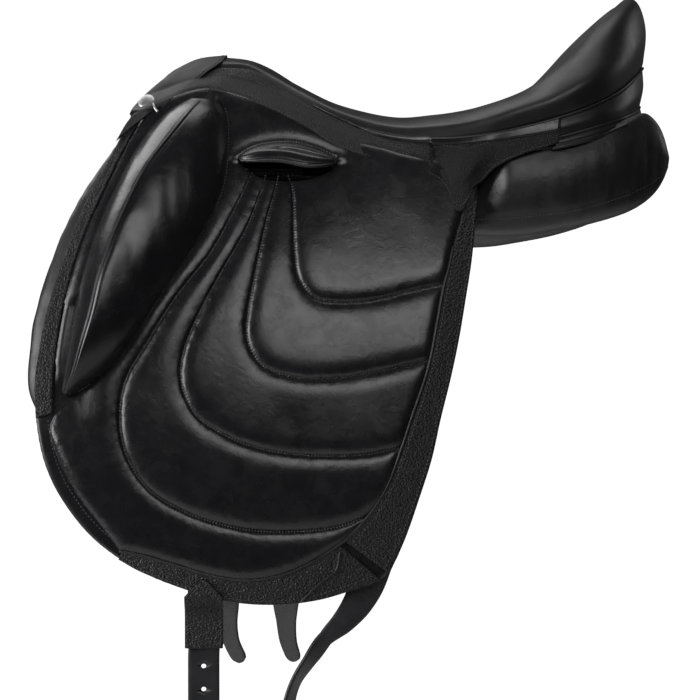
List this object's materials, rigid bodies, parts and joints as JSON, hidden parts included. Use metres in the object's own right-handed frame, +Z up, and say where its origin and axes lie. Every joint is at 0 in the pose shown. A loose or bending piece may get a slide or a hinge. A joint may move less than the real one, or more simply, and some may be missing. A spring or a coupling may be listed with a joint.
{
  "type": "dressage saddle",
  "caption": "English dressage saddle in black leather with long quilted flaps, large thigh blocks, a deep seat and hanging girth straps.",
  "frame": {"origin": "on the centre plane, level with the panels' bearing faces", "axes": "+Z up, -X towards the horse's head, -Y the near (left) side"},
  "size_m": [0.5621, 0.3812, 0.6414],
  "materials": {
    "smooth_leather": "smooth black calf, waxed sheen",
    "grain_leather": "black leather with a pebbled grain, low sheen",
    "lining_leather": "thin black lining leather, matt",
    "billet_leather": "black strap leather, waxed face and grey flesh side",
    "panel_leather": "soft black calf over flock, satin",
    "foam": "open-cell foam, matt",
    "flock": "off-white wool flock",
    "webbing": "woven jute webbing",
    "tree_laminate": "laminated beech, sealed",
    "steel": "forged steel, plain",
    "chrome": "polished chrome"
  },
  "bodies": {
    "saddle": {"seat_cover": "smooth_leather", "seat_foam": "foam", "seat_web": "webbing", "tree": "tree_laminate", "pommel_cap": "smooth_leather", "cantle_band": "smooth_leather", "cantle_welt": "smooth_leather", "head_plate": "steel", "near_skirt": "grain_leather", "off_skirt": "grain_leather", "near_stud": "chrome", "off_stud": "chrome", "near_cap_trim": "chrome", "off_cap_trim": "chrome", "near_panel": "panel_leather", "off_panel": "panel_leather", "near_panel_flock": "flock", "off_panel_flock": "flock", "near_stirrup_bar": "steel", "off_stirrup_bar": "steel"},
    "near_flap_set": {"near_flap": "smooth_leather", "near_flap_lining": "lining_leather", "near_front_strip": "grain_leather", "near_rear_band": "grain_leather", "near_bottom_band": "grain_leather", "near_thigh_block": "smooth_leather", "near_bar_pocket": "smooth_leather", "near_front_roll": "panel_leather", "near_front_billet": "billet_leather", "near_billet_sleeve": "grain_leather", "near_rear_billet": "billet_leather"},
    "near_front_strap": {"near_front_billet_tail": "billet_leather"},
    "near_rear_strap": {"near_rear_billet_tail": "billet_leather"},
    "near_catch_arm": {"near_bar_catch": "steel"},
    "off_flap_set": {"off_flap": "smooth_leather", "off_flap_lining": "lining_leather", "off_front_strip": "grain_leather", "off_rear_band": "grain_leather", "off_bottom_band": "grain_leather", "off_thigh_block": "smooth_leather", "off_bar_pocket": "smooth_leather", "off_front_roll": "panel_leather", "off_front_billet": "billet_leather", "off_billet_sleeve": "grain_leather", "off_rear_billet": "billet_leather"},
    "off_front_strap": {"off_front_billet_tail": "billet_leather"},
    "off_rear_strap": {"off_rear_billet_tail": "billet_leather"},
    "off_catch_arm": {"off_bar_catch": "steel"}
  },
  "joints": [
    {"name": "near_flap_lift", "type": "hinge", "parent": "saddle", "child": "near_flap_set", "pos_m": [-0.137, -0.0715, 0.124], "axis": [-0.9479, 0.1524, 0.2798], "range_deg": [0, 35], "deforming": ["near_skirt"]},
    {"name": "near_front_billet_swing", "type": "hinge", "parent": "near_flap_set", "child": "near_front_strap", "pos_m": [-0.1365, -0.17435, -0.3515], "axis": [-1, 0, 0], "range_deg": [-35, 35]},
    {"name": "near_rear_billet_swing", "type": "hinge", "parent": "near_flap_set", "child": "near_rear_strap", "pos_m": [-0.038, -0.17773, -0.3486], "axis": [-1, 0, 0], "range_deg": [-25, 35]},
    {"name": "near_bar_catch_turn", "type": "hinge", "parent": "saddle", "child": "near_catch_arm", "pos_m": [-0.0402, -0.095, 0.0575], "axis": [0, -1, 0], "range_deg": [0, 80]},
    {"name": "off_flap_lift", "type": "hinge", "parent": "saddle", "child": "off_flap_set", "pos_m": [-0.137, 0.0715, 0.124], "axis": [0.9479, 0.1524, -0.2798], "range_deg": [0, 35], "deforming": ["off_skirt"]},
    {"name": "off_front_billet_swing", "type": "hinge", "parent": "off_flap_set", "child": "off_front_strap", "pos_m": [-0.11, 0.17583, -0.3515], "axis": [1, 0, 0], "range_deg": [-35, 35]},
    {"name": "off_rear_billet_swing", "type": "hinge", "parent": "off_flap_set", "child": "off_rear_strap", "pos_m": [-0.0493, 0.17764, -0.347], "axis": [1, 0, 0], "range_deg": [-25, 35]},
    {"name": "off_bar_catch_turn", "type": "hinge", "parent": "saddle", "child": "off_catch_arm", "pos_m": [-0.0402, 0.095, 0.0575], "axis": [0, -1, 0], "range_deg": [0, 80]}
  ]
}
